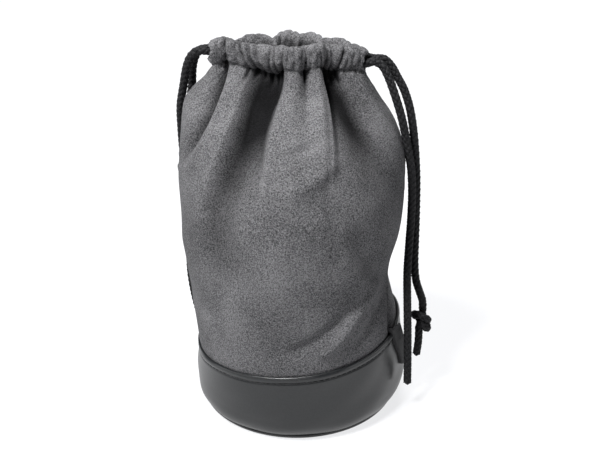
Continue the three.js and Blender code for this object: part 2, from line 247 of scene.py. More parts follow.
def joined(name, parts):
    """One smooth mesh from several lists of points and faces."""
    points, faces, count = [], [], 0
    for some_points, some_faces in parts:
        points.append(some_points)
        faces += [[corner + count for corner in face] for face in some_faces]
        count += len(some_points)
    mesh = bpy.data.meshes.new(name)
    mesh.from_pydata(np.concatenate(points).tolist(), [], faces)
    mesh.shade_smooth()
    return mesh


def plain_material(name, roughness):
    """A new material of one roughness."""
    material = bpy.data.materials.new(name)
    material.use_nodes = True
    shader_of(material).inputs["Roughness"].default_value = roughness
    return material


def shader_of(material):
    """The shader node of a material."""
    return material.node_tree.nodes["Principled BSDF"]


def two_tone(material, shade, height, dark, light, ends, bump, bump_depth):
    """Run a material's colour from dark to light by a shade, and raise its face by a height."""
    nodes, links = material.node_tree.nodes, material.node_tree.links
    shader = shader_of(material)
    ramp = nodes.new("ShaderNodeValToRGB")
    for element, end, colour in zip(ramp.color_ramp.elements, ends, (dark, light)):
        element.position = end
        element.color = (*colour, 1)
    relief = nodes.new("ShaderNodeBump")
    relief.inputs["Strength"].default_value = bump
    relief.inputs["Distance"].default_value = bump_depth
    links.new(shade, ramp.inputs["Fac"])
    links.new(ramp.outputs["Color"], shader.inputs["Base Color"])
    links.new(height, relief.inputs["Height"])
    links.new(relief.outputs["Normal"], shader.inputs["Normal"])


def braid_material():
    """Black cord, with lighter and darker fibres in its yarns."""
    material = plain_material("black_braid", BRAID_ROUGHNESS)
    shader_of(material).inputs["Specular IOR Level"].default_value = BRAID_GLOSS
    nodes, links = material.node_tree.nodes, material.node_tree.links
    place = nodes.new("ShaderNodeTexCoord")
    fibre = nodes.new("ShaderNodeTexNoise")
    fibre.inputs["Scale"].default_value = FIBRE_SCALE
    fibre.inputs["Detail"].default_value = 3
    links.new(place.outputs["Object"], fibre.inputs["Vector"])
    two_tone(
        material, shade=fibre.outputs["Fac"], height=fibre.outputs["Fac"], dark=BRAID_DARK, light=BRAID_LIGHT,
        ends=FIBRE_ENDS, bump=0.4, bump_depth=0.1 * MM,
    )
    return material


black_braid = braid_material()

# Routes of the strands from the way out of the hem to their ends, in millimetres.
RIGHT_OUTER = [
    (47.4, 1.9, 195.8), (51.4, 1.5, 191.8), (54.6, 0.7, 186), (57.8, -0.6, 180), (60.7, -2, 171),
    (62.7, -3, 160), (64.2, -3.8, 146), (65.2, -4, 130), (65.5, -4, 112), (65.5, -4, 95), (65.5, -4.4, 80),
    (66.4, -5.6, 70), (68.4, -7.2, 63.4), (70, -8.4, 58.4), (70.3, -8.6, 53.7),
]
RIGHT_INNER = [
    (46.4, -3.2, 193.6), (49.2, -4.8, 188.4), (51.4, -6, 182.6), (53.6, -6.9, 176), (55.7, -7.4, 169),
    (57.6, -7.6, 161), (60, -7.8, 149), (61.8, -8, 138), (62.6, -8, 124), (62.4, -8, 108), (61.4, -10.5, 93),
    (60.4, -15.2, 79.5), (60.3, -20.6, 64.4), (60.4, -25, 49), (60.6, -27, 33), (60.7, -28, 17),
]
LEFT_OUTER = [
    (-47.8, -1, 203.2), (-51.8, 1.2, 199.4), (-54.6, 4.2, 192.8), (-57, 7.8, 182.6), (-59.8, 11.6, 169.6),
    (-60.8, 16.6, 156), (-61.2, 21, 141), (-60.8, 24, 124), (-60.4, 25, 105), (-61.2, 24.6, 85),
    (-62, 24.4, 64), (-60.8, 27.4, 44), (-57.8, 31, 24), (-55, 34, 6),
]
LEFT_INNER = [
    (-47, 3.8, 202.2), (-50.2, 7, 197.4), (-52.2, 11.2, 189.6), (-53.4, 15.8, 179.6), (-55.4, 21.2, 168.6),
    (-56, 25.4, 157), (-56.4, 29.6, 143), (-56.2, 33, 127), (-56, 35.8, 110), (-55.4, 37.6, 92),
    (-54.8, 38.4, 76), (-54.4, 38.6, 62),
]
# Half of a tightened overhand knot, from its middle down; the other half is turned over about X. Soft
# cord packs closer than the solid model of it.
KNOT_MIDDLE = (4, 0, 0)
KNOT_HALF = [
    (3.5, 2, 2.5), (1, 3.5, 5), (-2, 2.5, 5.5), (-4, 0.5, 4), (-3.5, -1.5, 1.5), (-1.5, -2, -0.5),
    (0, 0, -2.5), (0.5, 1, -5.5), (0.5, 1, -8.5),
]
KNOT_END = [(0.6, 1.2, -14.5), (1.2, 1.8, -22.5)]
KNOT_SPREAD = (1.06, 1.06, 0.84)
KNOT_TURN = math.radians(120)

tied_line = np.array([(x, -y, -z) for x, y, z in KNOT_HALF[::-1]] + [KNOT_MIDDLE] + KNOT_HALF)
knot_line = np.concatenate([tied_line * KNOT_SPREAD, KNOT_END])
knot_line[:, :2] = knot_line[:, :2] @ np.array([
    (math.cos(KNOT_TURN), math.sin(KNOT_TURN)), (-math.sin(KNOT_TURN), math.cos(KNOT_TURN)),
])

# Half-way along its way out a strand has gone this share of its way aside, and is this share of a lane
# above or below the middle of its climb.
WAY_ASIDE = 0.7
WAY_LIFT = 0.2
STRANDS = [  # cord, way out, strand, its side of the way out, route, whether it ends in a knot
    ("right", RIGHT_EXIT, "outer", 1, RIGHT_OUTER, True),
    ("right", RIGHT_EXIT, "inner", -1, RIGHT_INNER, False),
    ("left", LEFT_EXIT, "outer", -1, LEFT_OUTER, False),
    ("left", LEFT_EXIT, "inner", 1, LEFT_INNER, True),
]

for side, exit_place, strand, sign, route, has_knot in STRANDS:
    way_out = np.array(exit_place) + (0, sign * LANE / 2, 0)
    deep = (math.copysign(EXIT_START, way_out[0]), 0, way_out[2] + sign * LANE / 2)
    middle_x = 0.5 * (deep[0] + way_out[0])
    middle_z = 0.5 * (deep[2] + way_out[2])
    between = (middle_x, WAY_ASIDE * way_out[1], middle_z + WAY_LIFT * sign * LANE)
    stub_line = smooth_route([deep, between, way_out], BRAID_STEP)
    stub = add_piece(f"{side}_{strand}_way_out", braid(f"{side}_{strand}_way_out", stub_line), black_braid)
    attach(stub, f"{side}_cord")
    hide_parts(f"{side}_exit_{strand}")

    line = smooth_route([way_out] + route, BRAID_STEP)
    cord = add_piece(f"{side}_{strand}_strand", braid(f"{side}_{strand}_strand", line, line[0]), black_braid)
    outward = (np.sign(line[0][0]), 1, 1)
    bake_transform(cord)
    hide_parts(f"{side}_tail_{strand}")
    if has_knot:
        tied = smooth_route(knot_line - knot_line[0] + np.array(route[-1]), BRAID_STEP)
        knot = add_piece(f"{side}_cord_knot", braid(f"{side}_cord_knot", tied), black_braid)
        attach(knot, f"{side}_strands")
        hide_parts(f"{side}_knot")


# Suede wall: two panels of soft napped suede, sewn together at the sides and turned over at the top
# into a hem that the cords run through. Drawing the cords gathers the neck into lobes and valleys.
WALL = np.array([  # height, half width to the left, to the right, half depth
    (3, 53, 53, 53), (10, 55.5, 57.5, 56.8), (20, 56.6, 58.6, 58.4), (30, 56.4, 58, 58.4),
    (42, 57, 57.2, 58.2), (50, 57.6, 56, 58.6), (60, 58.5, 53.6, 59), (74, 59.5, 51, 59.2),
    (87, 60.9, 52.8, 59.3), (101, 61.5, 56.9, 59.4), (116, 61.7, 58.8, 59.2), (126, 61.9, 59.3, 58.4),
    (135, 62, 59.2, 56.6), (150, 60.5, 57.4, 51.5), (161, 59.2, 54.4, 45.2), (171, 58, 50.4, 37.5),
    (180, 56, 46, 29.8), (188, 50, 42.4, 22), (193, 44.6, 39.8, 17.6), (198, 41.4, 37.4, 14.8),
    (202, 42.6, 38.2, 15.2), (207, 43.4, 39, 15.4), (214, 43, 38.6, 15.2),
])
STITCH_HEIGHT = 198.0
PANEL_FOOT = 32.0
GATHER_START = 112.0
PINCH_START = 172.0
PINCHED = 0.33
MOUTH_HALF_WIDTH = 27.0
HEM_PROFILE = np.array([  # out from the wall and up from the stitches, over the rim and down inside
    (0, 0), (0.8, 1.2), (1.3, 3.4), (1.4, 6.4), (0.8, 9), (-0.7, 11.2), (-3, 12.3), (-5.4, 11.6), (-7, 9.4),
    (-7.6, 6), (-7.8, 2), (-7.8, -2), (-7.8, -5),
])
HEM_SAMPLES = 60
HEM_INSIDE = -7
HOLE_DEPTH = 7.0
HOLE_HALF_WIDTH = 4.6
HOLE_HALF_HEIGHT = 4.2
HOLE_EDGE = (0.45, 1.2)
HOLE_REACH = 8
COLUMNS = 360
WALL_STEP = 1.8
GATHER_STEP = 0.95
PANEL_HEIGHTS = np.concatenate([
    np.arange(PANEL_FOOT, GATHER_START, WALL_STEP),
    np.arange(GATHER_START, STITCH_HEIGHT, GATHER_STEP),
    [STITCH_HEIGHT],
])
SEAM_DIP = 1.0
SEAM_WIDTH = 1.6
SEAM_HEIGHTS = np.array([20.0, 52, 64, 76, 96])
SEAM_TURNS = np.radians((-17.0, -26, -19, -8, 0))
# Ridges and valleys from left to right: places across at five heights, how far out the cloth stands
# there, and how sharp the crease is. Below these a fold leans on in its line and dies away.
FOLD_HEIGHTS = np.array([84.0, 150.0, 168.0, 182.0, 193.0, 203.0])
FOLD_LOW = 132.0
FOLD_SHARPNESS = 2.0
FOLD_CLEARANCE = 0.1
# Where a fold lies in, its depth also sets how much shade is painted into the suede's colour there.
FRONT_FOLDS = [
    ((-60, -53.5, -47.5, -41, -40), (0.4, 1.5, 2, 1.6, 1), 0),
    ((-57, -47.5, -39.6, -34.6, -34.5), (-0.8, -5.5, -7.5, -6.5, -3.5), 0.9),
    ((-51, -43, -36, -31.6, -31.5), (1.2, 2.8, 2.8, 1.5, 1), 0),
    ((-42, -34, -28, -24, -24), (1.6, 3.2, 2.8, 1.6, 0.8), 0),
    ((-33, -25.2, -20.6, -17.6, -17.5), (-6.4, -9, -9.6, -8, -2.6), 0),
    ((-19, -16.2, -12.2, -7.5, -6), (-2.6, -8, -10.4, -8, -2.6), 0),
    ((-13.5, -11.2, -7.6, -2.8, -2), (1, 3, 3, 1.6, 0.8), 0),
    ((0, 0, 0, 2, 3), (1.8, 5, 4.6, 1.8, 1), 0),
    ((7, 7.4, 6.8, 7.5, 7.5), (1.8, 4.6, 2.2, -2.5, -1.8), 0.5),
    ((13, 14.2, 13.5, 12.5, 12), (1.8, 5, 4.6, 2, 1), 0),
    ((18, 18.6, 17.6, 15.6, 15.5), (0.6, 2.8, 2.6, 1.4, 0.6), 0),
    ((24, 23.6, 21.4, 18.6, 18.5), (-0.8, -4, -7.8, -8.5, -3), 0),
    ((44, 34.6, 26.8, 21.8, 22), (-4, -8.4, -8.8, -7, -2.6), 0),
    ((53, 44, 35.4, 28, 27.5), (0, -0.6, -1.8, -1.4, 0.2), 0),
    ((56, 49.4, 42.6, 35.4, 34), (0.8, 1, 0.6, 0.6, 0.8), 0),
]
BACK_FOLDS = [
    ((-53, -47, -42, -38, -37), (0.6, 1.8, 2, 1.4, 0.8), 0),
    ((-40, -36, -32.5, -30, -29), (-2.5, -8, -10, -6.5, -3.5), 0.5),
    ((-31, -28, -25.5, -24, -23), (1.2, 3, 3, 1.4, 0.8), 0),
    ((-23, -21, -19, -17.5, -17), (1.2, 3, 2.6, 1, 0.5), 0),
    ((-14, -13.5, -12.5, -11, -11), (-3.5, -8.5, -10.5, -7, -3.5), 0.4),
    ((-6, -6, -6, -6, -6), (1, 3, 3, 1.2, 0.6), 0),
    ((1, 0.5, 0, 0, 0), (1, 4, 3.8, 1.4, 0.8), 0),
    ((7, 6.5, 6, 5.5, 5.5), (0.2, -2.5, -5.5, -4.5, -2.5), 0.6),
    ((13, 12.5, 12, 11.5, 11), (1.2, 3.4, 3.4, 1.4, 0.8), 0),
    ((27, 23.5, 21, 19, 18.5), (-3, -8.5, -10, -6.5, -3.5), 0.4),
    ((38, 33, 29.5, 26.5, 26), (1, 3, 3, 1.4, 0.8), 0),
    ((49, 43, 37.5, 33, 32), (-0.8, -4.5, -5.5, -4, -2.5), 0.8),
    ((54, 48, 42, 37, 36), (0.4, 1, 1, 0.6, 0.4), 0),
]
# Small gathers of the hem: place across at the stitches, lean towards the rim, depth of the crease and
# how far it runs down below the hem. They crowd in the valleys and fan out upwards.
FRONT_CREASES = [
    (-38, -0.5, 1.2, 6), (-34.2, -0.8, 2.4, 10), (-28.6, 0.4, 0.7, 3), (-23.6, -3.2, 2.6, 13),
    (-20.6, -1.6, 3, 9), (-17, -2.4, 1.8, 8), (-13.4, 1.6, 3.2, 14), (-9.4, -1, 2.6, 12),
    (-6.4, 2.4, 3, 9), (-3, 1.8, 1.6, 12), (1.2, 0.6, 0.8, 3), (5, 1.2, 1.4, 6), (7.6, 0.8, 3, 14),
    (10, 0.6, 1.4, 5), (13.6, -0.6, 0.8, 4), (16.6, -2.2, 2.6, 10), (19.2, 0.8, 3.2, 15),
    (22.4, -0.6, 2.4, 10), (25.2, 2.8, 2.8, 12), (28.8, 1.2, 1.4, 6), (32, 0.8, 0.8, 4),
    (35, 1, 1.4, 6),
]
BACK_CREASES = [
    (-37, -0.6, 1.2, 8), (-33, -1, 1.5, 8), (-30.4, -0.4, 2.2, 14), (-27.4, 0.6, 1.5, 8),
    (-22.6, 0.4, 0.8, 4), (-18.8, -0.8, 1.2, 7), (-15.6, -1, 1.8, 9), (-12.2, 0, 2.2, 15),
    (-9.4, 0.8, 1.6, 9), (-5, 0.4, 1, 5), (-2, 0.6, 0.7, 4), (1.8, -0.6, 1.4, 7), (5.4, 0.2, 2.2, 14),
    (7.6, 0.8, 1.4, 8), (12, 0.4, 0.7, 4), (15.6, -1, 1.5, 8), (18.8, -0.4, 2.3, 15),
    (21.4, 0.8, 1.8, 10), (26, 0.6, 0.9, 5), (30.4, -0.6, 1.3, 8), (33, 0.4, 2, 12), (36.4, 0.8, 1, 6),
]
# Soft drag lines across the front: place and height of both ends, how far they stand out, half width.
DRAG_LINES = [
    ((32, 92), (10, 132), 2.2, 7), ((50, 84), (30, 118), -2, 6), ((14, 54), (46, 82), 2.4, 5),
    ((-4, 56), (30, 76), -1.6, 6), ((28, 50), (50, 70), -1.6, 5), ((-44, 70), (-26, 110), -2, 8),
    ((-52, 100), (-40, 132), 1.8, 7), ((-14, 70), (-6, 118), 1.5, 9), ((2, 146), (16, 157), 2.6, 8),
    ((0, 163), (14, 170), -1.8, 6),
]
CREASE_WIDTH = 0.9
CREASE_TOP = 12.0
CREASE_ROUND = 0.03
CREASE_ROUND_DROP = 0.17
CREASE_WANE = 0.35
CREASE_WANE_PACE = 2.7
GATHER_HALF = 1.7
# Height of the rim above or below its mean, from left to right: it stands up on the lobes.
RIM_PLACES = np.array([-44.0, -36, -28, -19, -12, -1, 7.5, 13, 21, 30, 37, 44])
FRONT_RIM = np.array([-2.5, -0.3, -0.8, -2.6, -3.2, -2, -2.8, -1.5, -3.8, -5, -7, -8.5])
BACK_RIM = np.array([-2.5, -1, -2, -1, -2.4, -1, -2.2, -1.6, -3.2, -4.5, -7, -8.5])
# The same for the row of stitches under the hem: it hangs lower in the valleys.
FRONT_STITCHES = np.array([-3, -0.8, -0.4, -4.2, -6.4, -2, -3.6, -1.2, -6, -5.4, -7, -8.5])
BACK_STITCHES = np.array([-3, -1.5, -4.5, -1.4, -5, -1, -3.4, -1.6, -5.4, -4.5, -7.2, -8.5])
# Half widths that turn an angle round the pouch into a place across the hem, the wall or the band.
HEM_HALF_LEFT = 44.0
HEM_HALF_RIGHT = 40.0
HEM_HALF = 42
WALL_HALF = 58
BAND_HALF = 57
# Waves of the slack wall and dents of the gathered hem: height, pace across, pace up and start of each.
SLACK_WAVES = [(1, 2.3, 0.045, 0.6), (0.7, 4.1, -0.062, 2.1), (0.45, 7.3, 0.11, 4.0)]
SLACK_DEPTH = 0.8
SLACK_FOOT = (46, 60)
SLACK_TOP = (150, 190)
SLACK_TAKEN_UP = 0.6
DRAG_FADE_IN = 6
DRAG_FADE_OUT = 12
DENTS = [(1, 1.7, 0.7, 0), (1, 1.1, -0.9, 1.7), (1, 0.63, 1.3, 0.4)]
DENT_DEPTH = 0.16
DENT_START = 180
# The stitches and the band pull the suede in. It starts to follow the uneven rim at a height below them.
STITCH_PULL = 0.7
STITCH_PULL_WIDTH = 1.0
BAND_PULL = 0.5
BAND_PULL_ABOVE = 3
BAND_PULL_BELOW = 1
RISE_START = 150
# Height of the band's top edge in the middle, how it leans to the right, and its turn at both ends.
BAND_TOP_MIDDLE = 41.9
BAND_TOP_LEAN = 0.08
BAND_TOP_LEFT_DROP = 3.5
BAND_TOP_LEFT_POWER = 5
BAND_TOP_RIGHT_RISE = 3
BAND_TOP_RIGHT_POWER = 6
# Inside the hem shallower creases lie between those outside. The hem bulges less on its lobes, and each
# crease notches the rim.
INNER_GATHER = 0.25
LOBE_FLAT = 0.5
LOBE_FOLD = (-2, 0.5)
RIM_UP = 11
NOTCH = 0.5
NOTCH_UP = (7, 12)
# Painted shade: how much darker the suede's colour is painted in folds and creases, and down inside the
# mouth, where shade falls.
PAINTED_SHADE_FOLD = 8.5
PAINTED_SHADE_CREASE = 0.55
PAINTED_SHADE_CREASE_START = 0.7
HEM_FOLD_SHADE = 0.1
HEM_CREASE_SHADE = 0.6
INSIDE_SHADE = 0.9
INSIDE_SHADE_UP = (10.5, 3)
PAINTED_SHADE_TINT = (0.04, 0.04, 0.043, 1)
SUEDE_GLOSS = 0.12
CLOUD_SHARE = 0.17
SPECK_SHARE = 0.83
MOTTLE_ENDS = (0.4, 0.6)
SHEEN_ROUGHNESS = 0.5
PANELS = [  # side, its sign along Y, folds, creases, rim and row of stitches
    ("front", -1, FRONT_FOLDS, FRONT_CREASES, FRONT_RIM, FRONT_STITCHES),
    ("back", 1, BACK_FOLDS, BACK_CREASES, BACK_RIM, BACK_STITCHES),
]


def ease(low, high, at):
    """0 at low and 1 at high, smooth between."""
    share = np.clip((at - low) / (high - low), 0, 1)
    return share * share * (3 - 2 * share)


def through(stops, values, at):
    """A smooth curve through values at the stops, level outside them."""
    slopes = np.gradient(values, stops)
    span = np.clip(np.searchsorted(stops, at) - 1, 0, len(stops) - 2)
    width = stops[span + 1] - stops[span]
    share = np.clip((at - stops[span]) / width, 0, 1)
    rise = share * share * (3 - 2 * share)
    leave = slopes[span] * width * share * (1 - share) ** 2
    arrive = slopes[span + 1] * width * share * share * (share - 1)
    return values[span] + (values[span + 1] - values[span]) * rise + leave + arrive


def ripple(waves, across, up):
    """Sum of waves over places across and up."""
    return sum(height * np.sin(pace * across + climb * up + start) for height, pace, climb, start in waves)


def on_wall(turn, height, offset):
    """Points of a grid on the wall, columns by rows, moved out square to its section."""
    left, right, depth = (through(WALL[:, 0], WALL[:, column], height) for column in (1, 2, 3))
    x = np.where(np.cos(turn) < 0, left, right) * np.cos(turn)
    pinch = ease(PINCH_START, STITCH_HEIGHT, height) * PINCHED
    open_part = np.cos(0.5 * math.pi * np.clip(np.abs(x) / MOUTH_HALF_WIDTH, 0, 1)) ** 2
    y = depth * np.sin(turn) * (1 - pinch * (1 - open_part))
    along = np.stack([np.gradient(x, axis=0), np.gradient(y, axis=0)], axis=-1)
    normal = unit(np.stack([along[..., 1], -along[..., 0]], axis=-1))
    return np.stack([x + normal[..., 0] * offset, y + normal[..., 1] * offset, height], axis=-1)


def fold_out(folds, x, height):
    """How far out the folds hold the wall, in millimetres, for a grid of places."""
    place_heights = np.append(FOLD_LOW, FOLD_HEIGHTS[1:])
    out = np.zeros_like(x)
    for row in range(x.shape[1]):
        level = np.array([height[0, row]])
        edge = np.abs(x[:, row]).max() + FOLD_CLEARANCE
        places, stands, sharp = [-edge], [0.0], [0.0]
        for across, outward, crease in folds:
            leaning_on = (2 * across[0] - across[1], *across)
            places.append(through(place_heights, np.array(leaning_on, float), level)[0])
            stands.append(through(FOLD_HEIGHTS, np.array((0, *outward), float), level)[0])
            sharp.append(FOLD_SHARPNESS * crease)
        keep = np.abs(places + [edge]) <= edge
        places, stands, sharp = (np.array(a)[keep] for a in (places + [edge], stands + [0.0], sharp + [0.0]))
        span = np.clip(np.searchsorted(places, x[:, row]) - 1, 0, len(places) - 2)
        share = np.clip((x[:, row] - places[span]) / (places[span + 1] - places[span]), 0, 1)
        leave = sharp[span] * share * (1 - share) ** 2
        arrive = sharp[span + 1] * share * share * (share - 1)
        rise = share * share * (3 - 2 * share) + leave + arrive
        out[:, row] = stands[span] + (stands[span + 1] - stands[span]) * rise
    return out


def crease_depth(creases, turn, height, aside=0.0):
    """How deep the small gathers cut in, fading out below the hem and waning unevenly towards the rim."""
    across = np.where(np.cos(turn) < 0, HEM_HALF_LEFT, HEM_HALF_RIGHT) * np.cos(turn)
    up = np.clip((height - STITCH_HEIGHT) / CREASE_TOP, 0, 1)
    depth = np.zeros_like(turn)
    for place, lean, deep, run in creases:
        away = np.sqrt((across - place - lean * up - aside) ** 2 + CREASE_ROUND) - CREASE_ROUND_DROP
        waning = 1 - up * (CREASE_WANE + CREASE_WANE * math.sin(CREASE_WANE_PACE * place))
        fading = ease(STITCH_HEIGHT - run, STITCH_HEIGHT, height)
        depth += deep * waning * np.exp(-away / CREASE_WIDTH) * fading
    return depth


def slack(turn, height):
    """Broad, slow waves of soft cloth and its drag lines, in millimetres."""
    out = SLACK_DEPTH * ripple(SLACK_WAVES, turn, height) * np.sin(turn) ** 2
    x = WALL_HALF * np.cos(turn)
    for (low_x, low), (high_x, high), stand, half_width in DRAG_LINES:
        share = np.clip((height - low) / (high - low), 0, 1)
        ends = ease(low - DRAG_FADE_OUT, low + DRAG_FADE_IN, height)
        ends = ends * (1 - ease(high - DRAG_FADE_IN, high + DRAG_FADE_OUT, height))
        away = (x - low_x - (high_x - low_x) * share) / half_width
        out += stand * ends * np.exp(-away ** 2) * (np.sin(turn) < 0)
    return out * ease(*SLACK_FOOT, height) * (1 - SLACK_TAKEN_UP * ease(*SLACK_TOP, height))


def crumple(turn, height):
    """Small uneven dents of the gathered hem and the cloth under it, in millimetres."""
    dents = ripple(DENTS, HEM_HALF * np.cos(turn), height)
    return DENT_DEPTH * dents * ease(DENT_START, STITCH_HEIGHT, height)


def band_top(x):
    """Height of the band's top edge: the filled pouch leans to the left, so it is lower there."""
    to_left = np.clip(-x / BAND_HALF, 0, 1)
    to_right = np.clip(x / BAND_HALF, 0, 1)
    drop = BAND_TOP_LEFT_DROP * to_left ** BAND_TOP_LEFT_POWER
    rise = BAND_TOP_RIGHT_RISE * to_right ** BAND_TOP_RIGHT_POWER
    return BAND_TOP_MIDDLE + BAND_TOP_LEAN * x - drop + rise


def panel_turn(sign, heights, columns):
    """Turn of each column at each height: the right-hand seam swings to the front near the band."""
    seam = through(SEAM_HEIGHTS, SEAM_TURNS, heights)[None, :]
    share = np.linspace(0, 1, columns)[:, None]
    return -math.pi + share * (math.pi + seam) if sign < 0 else seam + share * (math.pi - seam)


def seam_groove(sign, turn, heights):
    """Dip of a panel towards its two side seams."""
    ends = panel_turn(sign, heights, 2)
    from_seam = np.minimum(turn - ends[:1], ends[1:] - turn) * BAND_HALF
    return SEAM_DIP * np.exp(-(from_seam / SEAM_WIDTH) ** 2)


def painted_shade_share(fold, cut):
    """How much shade to paint at a place that lies down in a fold or crease, from 0 to 1."""
    in_fold = np.clip(-fold / PAINTED_SHADE_FOLD, 0, 1)
    return np.clip(in_fold + PAINTED_SHADE_CREASE * np.maximum(cut - PAINTED_SHADE_CREASE_START, 0), 0, 1)


def panel_wall(sign, folds, creases, stitches):
    """Grid of points of a panel from behind the band up to the stitches, and the share of shade painted at
    each place.
    """
    turn = panel_turn(sign, PANEL_HEIGHTS, COLUMNS)
    height = np.broadcast_to(PANEL_HEIGHTS, turn.shape)
    x = on_wall(turn, height, 0)[..., 0]
    fold = fold_out(folds, x, height)
    cut = crease_depth(creases, turn, height)
    out = slack(turn, height) + crumple(turn, height) + fold - cut - seam_groove(sign, turn, PANEL_HEIGHTS)
    out -= STITCH_PULL * np.exp(-((height - STITCH_HEIGHT) / STITCH_PULL_WIDTH) ** 2)
    out -= BAND_PULL * ease(band_top(x) + BAND_PULL_ABOVE, band_top(x) - BAND_PULL_BELOW, height)
    points = on_wall(turn, height, out)
    points[..., 2] += through(RIM_PLACES, stitches, x) * ease(RISE_START, STITCH_HEIGHT, height)
    return points, painted_shade_share(fold, cut)


def panel_hem(sign, folds, creases, rim, stitches):
    """The same for its hem, from the stitches over the rim and down inside."""
    along = lengths_along(HEM_PROFILE)
    wanted = np.linspace(0, along[-1], HEM_SAMPLES)[1:]
    up = through(along, HEM_PROFILE[:, 1], wanted)
    turn = panel_turn(sign, STITCH_HEIGHT + up, COLUMNS)
    up = np.broadcast_to(up, turn.shape)
    out = np.broadcast_to(through(along, HEM_PROFILE[:, 0], wanted), turn.shape)
    outside = ease(HEM_INSIDE, 0, out)
    height = STITCH_HEIGHT + up
    x = on_wall(turn, height, 0)[..., 0]
    cut = crease_depth(creases, turn, np.maximum(height, STITCH_HEIGHT))
    inner_cut = crease_depth(creases, turn, np.maximum(height, STITCH_HEIGHT), GATHER_HALF)
    fold = fold_out(folds, x, np.clip(height, STITCH_HEIGHT, FOLD_HEIGHTS[-1]))
    shift = crumple(turn, height) + fold - cut * outside + INNER_GATHER * inner_cut * (1 - outside)
    pull = STITCH_PULL * np.exp(-(up / STITCH_PULL_WIDTH) ** 2) * outside
    shift -= pull + LOBE_FLAT * np.maximum(out, 0) * ease(*LOBE_FOLD, fold)
    points = on_wall(turn, height, out + shift)
    to_rim = ease(0, RIM_UP, up)
    points[..., 2] += through(RIM_PLACES, rim, x) * to_rim + through(RIM_PLACES, stitches, x) * (1 - to_rim)
    points[..., 2] -= NOTCH * cut * ease(*NOTCH_UP, up)
    # Shade painted into the hem's creases and folds, and down its inner face where the mouth lies in shadow.
    crease_painted_shade = HEM_CREASE_SHADE * (cut * outside + inner_cut * (1 - outside))
    inside_painted_shade = INSIDE_SHADE * (1 - outside) * ease(*INSIDE_SHADE_UP, up)
    return points, np.maximum(painted_shade_share(HEM_FOLD_SHADE * fold, crease_painted_shade), inside_painted_shade)


def suede_panel(sign, folds, creases, rim, stitches):
    """A whole panel with its hem, pressed in round the two holes for the cords, and the shade painted on it.
    """
    wall, wall_painted_shade = panel_wall(sign, folds, creases, stitches)
    hem, hem_painted_shade = panel_hem(sign, folds, creases, rim, stitches)
    points = np.concatenate([wall, hem], axis=1)
    for place in (RIGHT_EXIT, LEFT_EXIT):
        way = np.sign(place[0])
        aside = points[..., 1] / HOLE_HALF_WIDTH
        up = (points[..., 2] - place[2]) / HOLE_HALF_HEIGHT
        pressed = 1 - ease(*HOLE_EDGE, aside ** 2 + up ** 2)
        at_end = points[..., 0] * way > abs(place[0]) - HOLE_REACH
        points[..., 0] -= way * HOLE_DEPTH * np.where(at_end, pressed, 0)
    return points * MM, np.concatenate([wall_painted_shade, hem_painted_shade], axis=1)


def grid_mesh(name, points, flip=False, ring=False, loop=False, capped=False):
    """A smooth mesh over a grid of points. ring joins the last column to the first, loop the last row to
    the first row, and capped closes the first and the last row with a flat face."""
    columns, rows = points.shape[:2]
    index = np.arange(columns * rows).reshape(columns, rows)
    caps = [index[::-1, 0].tolist(), index[:, -1].tolist()] if capped else []
    if ring:
        index = np.concatenate([index, index[:1]])
    if loop:
        index = np.concatenate([index, index[:, :1]], axis=1)
    corners = [index[:-1, :-1], index[1:, :-1], index[1:, 1:], index[:-1, 1:]]
    faces = np.stack(corners, axis=-1).reshape(-1, 4)
    if flip:
        faces = faces[:, ::-1]
    mesh = bpy.data.meshes.new(name)
    mesh.from_pydata(points.reshape(-1, 3).tolist(), [], faces.tolist() + caps)
    mesh.shade_smooth()
    return mesh


def shader_group(name, sizes):
    """A shader group that takes named sizes and puts out a shade and a bump height."""
    group = bpy.data.node_groups.new(name, "ShaderNodeTree")
    for socket, value in sizes:
        size = group.interface.new_socket(socket, in_out="INPUT", socket_type="NodeSocketFloat")
        size.default_value = value
    for socket in ("Shade", "Height"):
        group.interface.new_socket(socket, in_out="OUTPUT", socket_type="NodeSocketFloat")
    return group, group.nodes.new("NodeGroupInput"), group.nodes.new("NodeGroupOutput")


def mottle_group():
    """Shader group: cloudy patches and fine specks, as one shade factor and one bump height."""
    group, inside, outside = shader_group("mottle", (("Cloud Scale", 90.0), ("Speck Scale", 1500.0)))
    place = group.nodes.new("ShaderNodeTexCoord")
    cloud = group.nodes.new("ShaderNodeTexNoise")
    cloud.inputs["Detail"].default_value = 3
    speck = group.nodes.new("ShaderNodeTexNoise")
    speck.inputs["Detail"].default_value = 4
    speck.inputs["Roughness"].default_value = 0.65
    for texture, socket in ((cloud, "Cloud Scale"), (speck, "Speck Scale")):
        group.links.new(place.outputs["Object"], texture.inputs["Vector"])
        group.links.new(inside.outputs[socket], texture.inputs["Scale"])
    speck_part = group.nodes.new("ShaderNodeMath")
    speck_part.operation = "MULTIPLY"
    speck_part.inputs[1].default_value = SPECK_SHARE
    both = group.nodes.new("ShaderNodeMath")
    both.operation = "MULTIPLY_ADD"
    both.inputs[1].default_value = CLOUD_SHARE
    group.links.new(speck.outputs["Fac"], speck_part.inputs[0])
    group.links.new(cloud.outputs["Fac"], both.inputs[0])
    group.links.new(speck_part.outputs[0], both.inputs[2])
    group.links.new(both.outputs[0], outside.inputs["Shade"])
    group.links.new(speck.outputs["Fac"], outside.inputs["Height"])
    return group


mottle = mottle_group()


def mottled_material(name, dark, light, roughness, cloud, speck, bump, bump_depth, sheen=0.0):
    """A material whose shade runs between two colours by the mottle group."""
    material = plain_material(name, roughness)
    shader_of(material).inputs["Sheen Weight"].default_value = sheen
    shader_of(material).inputs["Sheen Roughness"].default_value = SHEEN_ROUGHNESS
    pattern = material.node_tree.nodes.new("ShaderNodeGroup")
    pattern.node_tree = mottle
    pattern.inputs["Cloud Scale"].default_value = cloud
    pattern.inputs["Speck Scale"].default_value = speck
    shade, height = pattern.outputs["Shade"], pattern.outputs["Height"]
    two_tone(material, shade, height, dark, light, MOTTLE_ENDS, bump, bump_depth)
    return material


